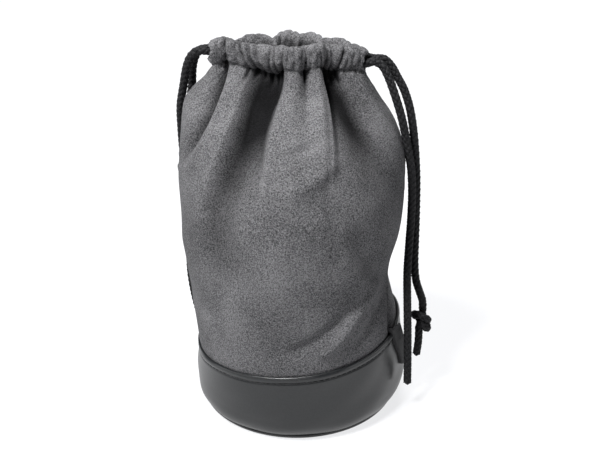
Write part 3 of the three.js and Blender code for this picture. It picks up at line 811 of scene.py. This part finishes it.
def paint_shade_in_hollows(material):
    """Paint shade into a material's colour, darker where its cloth lies down in a fold or crease, by a mesh
    attribute.
    """
    nodes, links = material.node_tree.nodes, material.node_tree.links
    colour = shader_of(material).inputs["Base Color"]
    painted_shade_attribute = nodes.new("ShaderNodeAttribute")
    painted_shade_attribute.attribute_name = "painted_shade"
    # The colour is multiplied towards a dark tint by the painted shade share.
    painted_shade_mix = nodes.new("ShaderNodeMix")
    painted_shade_mix.data_type = "RGBA"
    painted_shade_mix.blend_type = "MULTIPLY"
    # The colours of a mix are its inputs 6 and 7 and its output 2: other sockets share their names.
    painted_shade_mix.inputs[7].default_value = PAINTED_SHADE_TINT
    links.new(painted_shade_attribute.outputs["Fac"], painted_shade_mix.inputs["Factor"])
    links.new(colour.links[0].from_socket, painted_shade_mix.inputs[6])
    links.new(painted_shade_mix.outputs[2], colour)


suede = mottled_material(
    "grey_suede", dark=(0.034, 0.034, 0.036), light=(0.19, 0.188, 0.195), roughness=0.95,
    cloud=40, speck=1500, bump=1.0, bump_depth=0.9 * MM, sheen=0.02,
)
shader_of(suede).inputs["Specular IOR Level"].default_value = SUEDE_GLOSS
paint_shade_in_hollows(suede)
hem_feet = {}
for side, sign, folds, creases, rim, stitches in PANELS:
    points, painted_shade = suede_panel(sign, folds, creases, rim, stitches)
    hem_feet[side] = points[:, len(PANEL_HEIGHTS) - 1]
    mesh = grid_mesh(f"suede_{side}", points)
    # The share of shade painted into the suede's colour at each point, for the material to read.
    shade = mesh.attributes.new("painted_shade", "FLOAT", "POINT")
    shade.data.foreach_set("value", painted_shade.astype(np.float32).ravel())
    panel = add_piece(f"suede_{side}", mesh, suede)
    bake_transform(panel)
    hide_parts(f"{side}_panel", f"{side}_hem")


# Cords in the hem: the same black braid runs once round the mouth inside the hem for each pair of
# strands, one lane above the other.
HEM_MIDDLE = 204.0
CORD_INSET = -3.8
HEM_CORD_STOPS = 90
HEM_CORD_SHORT = 4

for cord_side, lane_sign in (("right", -1), ("left", 1)):
    for side, sign, folds, _, rim, _ in PANELS:
        turn = panel_turn(sign, np.array([HEM_MIDDLE]), HEM_CORD_STOPS)[HEM_CORD_SHORT:-HEM_CORD_SHORT]
        height = np.full_like(turn, HEM_MIDDLE + lane_sign * LANE / 2)
        x = on_wall(turn, height, 0)[..., 0]
        run = on_wall(turn, height, CORD_INSET + fold_out(folds, x, height))[:, 0]
        run[:, 2] += through(RIM_PLACES, rim, x[:, 0])
        name = f"{cord_side}_cord_in_{side}_hem"
        loop = add_piece(name, braid(name, smooth_route(run, BRAID_STEP)), black_braid)
        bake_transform(loop)
        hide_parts(f"{cord_side}_cord_loop")


# Lining: dark thin plain-woven cloth, sewn in two halves with a round padded floor. Its top edge is
# caught in the hem, and it follows the folds of the suede inside the neck.
LINING_TOP = 201.0
LINING_FOOT = 11.0
LINING_BEHIND = 2.4
LINING_HEM_INSET = 3.4
LINING_COLUMNS = 150
LINING_STEP = 1.7
LINING_INSET_HEIGHTS = (160, 188)
LINING_DARK = (0.012, 0.012, 0.014)
LINING_LIGHT = (0.035, 0.034, 0.04)
THREADS = 1700.0
THREAD_WANDER = 0.3
WEAVE_ENDS = (0, 1)


def weave_group():
    """Shader group: a plain weave over the UV map, as a shade factor and a bump height."""
    group, inside, outside = shader_group("plain_weave", (("Threads", THREADS),))
    place = group.nodes.new("ShaderNodeUVMap")
    product = group.nodes.new("ShaderNodeMath")
    product.operation = "MULTIPLY"
    for slot, direction in enumerate(("X", "Y")):
        thread = group.nodes.new("ShaderNodeTexWave")
        thread.bands_direction = direction
        thread.inputs["Distortion"].default_value = THREAD_WANDER
        group.links.new(place.outputs["UV"], thread.inputs["Vector"])
        group.links.new(inside.outputs["Threads"], thread.inputs["Scale"])
        group.links.new(thread.outputs["Fac"], product.inputs[slot])
    group.links.new(product.outputs[0], outside.inputs["Shade"])
    group.links.new(product.outputs[0], outside.inputs["Height"])
    return group


plain_weave = weave_group()


def woven_material(name, dark, light, roughness, threads):
    """A material for plain-woven cloth."""
    material = plain_material(name, roughness)
    pattern = material.node_tree.nodes.new("ShaderNodeGroup")
    pattern.node_tree = plain_weave
    pattern.inputs["Threads"].default_value = threads
    two_tone(
        material, shade=pattern.outputs["Shade"], height=pattern.outputs["Height"], dark=dark, light=light,
        ends=WEAVE_ENDS, bump=0.4, bump_depth=0.1 * MM,
    )
    return material


def lay_flat(mesh, points):
    """A UV map in metres along the rows and columns of a grid mesh."""
    across = np.linalg.norm(np.diff(points, axis=0), axis=2).max(axis=1)
    up = np.linalg.norm(np.diff(points, axis=1), axis=2).max(axis=0)
    u = np.concatenate([[0], np.cumsum(across)])
    v = np.concatenate([[0], np.cumsum(up)])
    grid = np.stack(np.meshgrid(u, v, indexing="ij"), axis=-1).reshape(-1, 2)
    corners = np.zeros(len(mesh.loops), int)
    mesh.loops.foreach_get("vertex_index", corners)
    layer = mesh.uv_layers.new(name="flat")
    layer.data.foreach_set("uv", grid[corners].astype(np.float32).ravel())


lining = woven_material("dark_lining", LINING_DARK, LINING_LIGHT, roughness=0.8, threads=THREADS)
for side, sign, folds, _, rim, _ in PANELS:
    heights = np.arange(LINING_FOOT, LINING_TOP, LINING_STEP)
    turn = panel_turn(sign, heights, LINING_COLUMNS)
    height = np.broadcast_to(heights, turn.shape)
    x = on_wall(turn, height, 0)[..., 0]
    out = slack(turn, height) + fold_out(folds, x, np.clip(height, FOLD_HEIGHTS[0], FOLD_HEIGHTS[-1]))
    out -= LINING_BEHIND + LINING_HEM_INSET * ease(*LINING_INSET_HEIGHTS, height)
    points = on_wall(turn, height, out)
    points[..., 2] += through(RIM_PLACES, rim, x) * ease(RISE_START, STITCH_HEIGHT, height)
    mesh = grid_mesh(f"lining_cloth_{side}", points * MM, flip=True)
    lay_flat(mesh, points * MM)
    piece = add_piece(f"lining_cloth_{side}", mesh, lining)
    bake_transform(piece)
    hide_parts(f"lining_{side}")


# Base: a board and a foam pad under the lining's floor, a leatherette bottom panel, and a piped welt
# sewn round its edge. The base stack is glued and sewn up, so only its underside shows.
ROUND_COLUMNS = 160
LEATHERETTE_GLOSS = 0.55
BOTTOM_RADIUS = 51.5
BOTTOM_THICKNESS = 1.4
WELT_RADIUS = 54
WELT_HEIGHT = 1.6
WELT_THICKNESS = 3.0
WELT_STOPS = 16
PAD_RADIUS = 50
PAD_FOOT = 3.5
PAD_TOP = 9.5
PAD_ROUND = 1.5
LINING_FLOOR_RADIUS = 53.2
LINING_FLOOR_HEIGHT = 10.4
LINING_FLOOR_HALF = 0.4
LINING_FLOOR_UNDER = 9.8
# Radii of the rings that flat faces are built on; one plain face closes each inside the smallest.
INNER_RING = 20
OUTER_RING = 40
LINING_FLOOR_TOP = [(48, 11), (OUTER_RING, 10.9), (INNER_RING, 10.7)]  # radius and height


def revolve(name, profile, capped=True):
    """A closed mesh of a profile turned about Z: capped from the axis, otherwise a ring."""
    turn = np.linspace(0, 2 * math.pi, ROUND_COLUMNS, endpoint=False)
    outline = np.array(profile, float) * MM
    points = np.stack([
        np.outer(np.cos(turn), outline[:, 0]), np.outer(np.sin(turn), outline[:, 0]),
        np.broadcast_to(outline[:, 1], (ROUND_COLUMNS, len(outline))),
    ], axis=-1)
    return grid_mesh(name, points, ring=True, loop=not capped, capped=capped)


def arc(centre, radius, start, end, count):
    """Points of an arc in a profile, angles in degrees."""
    turn = np.radians(np.linspace(start, end, count))
    return [(centre[0] + radius * math.cos(a), centre[1] + radius * math.sin(a)) for a in turn]


leatherette = mottled_material(
    "dark_leatherette", dark=(0.006, 0.0068, 0.0076), light=(0.01, 0.011, 0.012), roughness=0.35,
    cloud=45, speck=1100, bump=0.2, bump_depth=0.2 * MM,
)
shader_of(leatherette).inputs["Specular IOR Level"].default_value = LEATHERETTE_GLOSS
bottom_half = BOTTOM_THICKNESS / 2
bottom_edge = arc((BOTTOM_RADIUS, bottom_half), bottom_half, -90, 90, count=9)
bottom_profile = [(OUTER_RING, 0), *bottom_edge, (OUTER_RING, BOTTOM_THICKNESS)]
base_panel = add_piece("bottom_panel", revolve("bottom_panel", bottom_profile), leatherette)
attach(base_panel, "pouch")
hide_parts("base_panel")

welt_profile = arc((WELT_RADIUS, WELT_HEIGHT), WELT_THICKNESS / 2, 0, 360 - 360 / WELT_STOPS, WELT_STOPS)
welt = add_piece("piped_welt", revolve("piped_welt", welt_profile, capped=False), leatherette)
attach(welt, "pouch")
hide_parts("base_welt")

foam = mottled_material(
    "grey_foam", dark=(0.03, 0.03, 0.03), light=(0.06, 0.06, 0.06), roughness=0.95,
    cloud=300, speck=1800, bump=0.8, bump_depth=0.5 * MM,
)
pad_edge = arc((PAD_RADIUS, PAD_FOOT + PAD_ROUND), PAD_ROUND, -90, 0, count=5)
pad_edge += arc((PAD_RADIUS, PAD_TOP - PAD_ROUND), PAD_ROUND, 0, 90, count=5)
pad_profile = [(OUTER_RING, PAD_FOOT), *pad_edge, (OUTER_RING, PAD_TOP)]
pad = add_piece("foam_pad", revolve("foam_pad", pad_profile), foam)
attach(pad, "pouch")
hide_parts("base_pad")

board = mottled_material(
    "greyboard", dark=(0.2, 0.17, 0.13), light=(0.3, 0.26, 0.2), roughness=0.9,
    cloud=200, speck=1400, bump=0.2, bump_depth=0.1 * MM,
)
board_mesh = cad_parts["base_board"].data
board_mesh.materials.clear()
board_mesh.materials.append(board)

floor_edge = arc((LINING_FLOOR_RADIUS, LINING_FLOOR_HEIGHT), LINING_FLOOR_HALF, -90, 90, count=5)
floor_under = [(INNER_RING, LINING_FLOOR_UNDER), (OUTER_RING, LINING_FLOOR_UNDER)]
floor_profile = floor_under + floor_edge + LINING_FLOOR_TOP
lining_floor = add_piece("lining_floor_cloth", revolve("lining_floor_cloth", floor_profile), lining)
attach(lining_floor, "pouch")
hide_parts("lining_floor")


# Band: one strip of dark leatherette round the base, sewn to the suede along its turned top edge
# with a row of topstitching below it, and turned under at the bottom where it meets the welt.
BAND = np.array([  # height, half width to the left, to the right, half depth
    (2.6, 55.6, 56, 55.5), (4.5, 57, 57, 57.4), (8, 58, 59.4, 59.2), (14, 58.3, 60.9, 60),
    (22, 58.1, 60.4, 60), (32, 57.3, 59.3, 59.6), (50, 57.2, 57.4, 59.2),
])
BAND_EDGE = 0.8
BAND_FOOT = 2.6
TOPSTITCH_DROP = 3.3
BAND_COLUMNS = 300
BAND_FACE_SHARES = np.concatenate([np.linspace(0, 0.8, 24), np.linspace(0.81, 1, 22)])
BAND_EDGE_TURNS = np.radians(np.linspace(15, 165, 7))
BAND_EDGE_OUT = 0.3
BAND_BACK_SHARES = (0.97, 0.9, 0.6, 0.3, 0)
BAND_ROLL = 0.5
BAND_ROLL_DROP = 1.2
BAND_ROLL_WIDTH = 1.3
TOPSTITCH_DIP = 0.45
TOPSTITCH_DIP_WIDTH = 0.7
BAND_WAVES = [(0.18, 9, 0.3, 0), (0.14, 5.3, -0.22, 1)]


def on_band(turn, height, offset):
    """A point of the band's face at a height, moved out."""
    left, right, depth = (through(BAND[:, 0], BAND[:, column], height) for column in (1, 2, 3))
    half = np.where(np.cos(turn) < 0, left, right)
    normal = unit(np.stack([depth * np.cos(turn), half * np.sin(turn)], axis=-1))
    x = half * np.cos(turn) + normal[..., 0] * offset
    y = depth * np.sin(turn) + normal[..., 1] * offset
    return np.stack([x, y, height], axis=-1)


def band_relief(below, turn):
    """Rolled top edge, dip along the topstitching and slow waves of the band's face."""
    roll = BAND_ROLL * np.exp(-((below - BAND_ROLL_DROP) / BAND_ROLL_WIDTH) ** 2)
    dip = TOPSTITCH_DIP * np.exp(-((below - TOPSTITCH_DROP) / TOPSTITCH_DIP_WIDTH) ** 2)
    return roll - dip + ripple(BAND_WAVES, turn, below)


turn = np.linspace(0, 2 * math.pi, BAND_COLUMNS, endpoint=False)
top = band_top(WALL_HALF * np.cos(turn))
face = []
for share in BAND_FACE_SHARES:
    height = BAND_FOOT + (top - BAND_FOOT) * share
    face.append(on_band(turn, height, band_relief(top - height, turn)))
for angle in BAND_EDGE_TURNS:
    edge = BAND_EDGE * math.cos(angle) - BAND_EDGE + BAND_EDGE_OUT
    face.append(on_band(turn, top, edge) + np.array([0, 0, BAND_EDGE * math.sin(angle)]))
for share in BAND_BACK_SHARES:
    face.append(on_band(turn, BAND_FOOT + (top - BAND_FOOT) * share, np.full_like(turn, -2 * BAND_EDGE)))
band_points = np.stack(face, axis=1) * MM
band_mesh = grid_mesh("leatherette_band", band_points, ring=True, loop=True)
band = add_piece("leatherette_band", band_mesh, leatherette)
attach(band, "pouch")
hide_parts("band_front", "band_back")


# Stitches: dark thread through the band below its top edge, and grey thread along the foot of the hem,
# pulled down into the nap. Each row is one short stitch set again and again along its line.
STITCH_SIZES = (("Spacing", 3.2 * MM), ("Stitch Length", 2.5 * MM), ("Thread Width", 0.6 * MM))
STITCH_SIDES = 8
STITCH_RINGS = 6
TOPSTITCH_OUT = 0.1
HEM_STITCH_OUT = 0.15 * MM
HEM_STITCH_WIDTH = 0.5 * MM
HEM_STITCH_SHORT = 4


def stitch_tree(thread_material):
    """Geometry nodes that set one oval stitch along an edge line."""
    tree = bpy.data.node_groups.new("row_of_stitches", "GeometryNodeTree")
    tree.interface.new_socket("Geometry", in_out="INPUT", socket_type="NodeSocketGeometry")
    for name, value in STITCH_SIZES:
        tree.interface.new_socket(name, in_out="INPUT", socket_type="NodeSocketFloat").default_value = value
    tree.interface.new_socket("Geometry", in_out="OUTPUT", socket_type="NodeSocketGeometry")
    inside = tree.nodes.new("NodeGroupInput")
    outside = tree.nodes.new("NodeGroupOutput")
    curve = tree.nodes.new("GeometryNodeMeshToCurve")
    resample = tree.nodes.new("GeometryNodeResampleCurve")
    resample.mode = "LENGTH"
    tangent = tree.nodes.new("GeometryNodeInputTangent")
    align = tree.nodes.new("FunctionNodeAlignRotationToVector")
    align.axis = "X"
    ball = tree.nodes.new("GeometryNodeMeshUVSphere")
    ball.inputs["Segments"].default_value = STITCH_SIDES
    ball.inputs["Rings"].default_value = STITCH_RINGS
    ball.inputs["Radius"].default_value = 0.5
    size = tree.nodes.new("ShaderNodeCombineXYZ")
    place = tree.nodes.new("GeometryNodeInstanceOnPoints")
    realize = tree.nodes.new("GeometryNodeRealizeInstances")
    paint = tree.nodes.new("GeometryNodeSetMaterial")
    paint.inputs["Material"].default_value = thread_material
    for start, output, end, socket in (
        (inside, "Geometry", curve, "Mesh"), (curve, "Curve", resample, "Curve"),
        (inside, "Spacing", resample, "Length"), (tangent, "Tangent", align, "Vector"),
        (inside, "Stitch Length", size, "X"), (inside, "Thread Width", size, "Y"),
        (inside, "Thread Width", size, "Z"), (resample, "Curve", place, "Points"),
        (ball, "Mesh", place, "Instance"), (align, "Rotation", place, "Rotation"),
        (size, "Vector", place, "Scale"), (place, "Instances", realize, "Geometry"),
        (realize, "Geometry", paint, "Geometry"), (paint, "Geometry", outside, "Geometry"),
    ):
        tree.links.new(start.outputs[output], end.inputs[socket])
    return tree


def sew(name, line, closed, tree, **sizes):
    """A plain mesh of stitches along a line of points, in metres."""
    rail = bpy.data.meshes.new(name)
    count = len(line)
    edges = [(i, (i + 1) % count) for i in range(count if closed else count - 1)]
    rail.from_pydata(line.tolist(), edges, [])
    piece = add_piece(name, rail)
    modifier = piece.modifiers.new("stitches", "NODES")
    modifier.node_group = tree
    for item in tree.interface.items_tree:
        if item.in_out == "INPUT" and item.name in sizes:
            modifier[item.identifier] = sizes[item.name]
    sewn = bpy.data.meshes.new_from_object(piece.evaluated_get(bpy.context.evaluated_depsgraph_get()))
    piece.modifiers.clear()
    piece.data = sewn
    sewn.name = name
    sewn.shade_smooth()
    return piece


dark_thread = mottled_material(
    "dark_thread", dark=(0.012, 0.012, 0.013), light=(0.022, 0.022, 0.024), roughness=0.7,
    cloud=400, speck=3000, bump=0.3, bump_depth=0.05 * MM,
)
grey_thread = mottled_material(
    "grey_thread", dark=(0.03, 0.03, 0.032), light=(0.08, 0.08, 0.084), roughness=0.8,
    cloud=400, speck=3000, bump=0.3, bump_depth=0.05 * MM,
)
topstitch_relief = band_relief(np.full_like(turn, TOPSTITCH_DROP), turn)
topstitch_line = on_band(turn, top - TOPSTITCH_DROP, topstitch_relief + TOPSTITCH_OUT) * MM
topstitch = sew("band_topstitch", topstitch_line, True, stitch_tree(dark_thread))
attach(topstitch, "pouch")

hem_row = stitch_tree(grey_thread)
for side, sign, *_ in PANELS:
    along = np.gradient(hem_feet[side][:, :2], axis=0)
    outward = unit(np.stack([along[:, 1], -along[:, 0], 0 * along[:, 0]], axis=1))
    line = (hem_feet[side] + outward * HEM_STITCH_OUT)[HEM_STITCH_SHORT:-HEM_STITCH_SHORT]
    row = sew(f"{side}_hem_stitches", line, False, hem_row, **{"Thread Width": HEM_STITCH_WIDTH})
    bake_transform(row)


# Side tab: a short woven ribbon folded double, sewn into the slanting right-hand seam and bent back
# round it. It is blank.
TAB_FOOT = np.array((58.71, -19.11, 24))
TAB_HEAD = np.array((51.92, -28.05, 52))
TAB_ROOT_DEPTH = 3.4
TAB_REACH = 4.4
TAB_BEND = 60
TAB_BEND_RADIUS = 1.2
TAB_HALF_GAP = 0.3
TAB_THICKNESS = 0.5
TAB_LEVELS = 24
TAB_STRAIGHT_END = -1.5
TAB_BEND_PLACE = -0.6
TAB_BEND_STOPS = 6
TAB_FOLD_STOPS = 9
TAB_STEP = 0.4 * MM

tab_up = unit(TAB_HEAD - TAB_FOOT)
tab_middle = (TAB_FOOT + TAB_HEAD) / 2
tab_aside = unit(np.array((-tab_middle[1], tab_middle[0], 0)))
tab_out = unit(np.cross(tab_aside, tab_up))
tab_aside = np.cross(tab_up, tab_out)
lean = math.radians(TAB_BEND)
bend = arc((TAB_BEND_PLACE, TAB_BEND_RADIUS), TAB_BEND_RADIUS, -90, TAB_BEND - 90, TAB_BEND_STOPS)
tip = (bend[-1][0] + TAB_REACH * math.cos(lean), bend[-1][1] + TAB_REACH * math.sin(lean))
stops = [(-TAB_ROOT_DEPTH, 0), (TAB_STRAIGHT_END, 0), *bend, tip]
middle_line = smooth_route([(*stop, 0) for stop in stops], TAB_STEP)[:, :2] / MM
line_side = unit(np.stack([np.gradient(middle_line[:, 1]), -np.gradient(middle_line[:, 0])], axis=1))
half = TAB_HALF_GAP + TAB_THICKNESS / 2
fold = arc((0, 0), half, TAB_BEND - 90, TAB_BEND + 90, TAB_FOLD_STOPS)
outline = np.concatenate([
    middle_line + line_side * half,
    middle_line[-1] + np.array(fold[1:-1]),
    (middle_line - line_side * half)[::-1],
])
rises = np.linspace(0, np.linalg.norm(TAB_HEAD - TAB_FOOT), TAB_LEVELS)
tab_points = TAB_FOOT + tab_up * rises[None, :, None]
tab_points = tab_points + (outline[:, :1] * tab_out + outline[:, 1:] * tab_aside)[:, None]
tab_mesh = grid_mesh("blank_side_tab", tab_points * MM, ring=True, capped=True)
lay_flat(tab_mesh, tab_points * MM)
tab_cloth = woven_material(
    "black_woven_tab", dark=(0.006, 0.006, 0.007), light=(0.02, 0.02, 0.022), roughness=0.6, threads=2200
)
side_tab = add_piece("blank_side_tab", tab_mesh, tab_cloth)
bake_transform(side_tab)
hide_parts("side_tab")
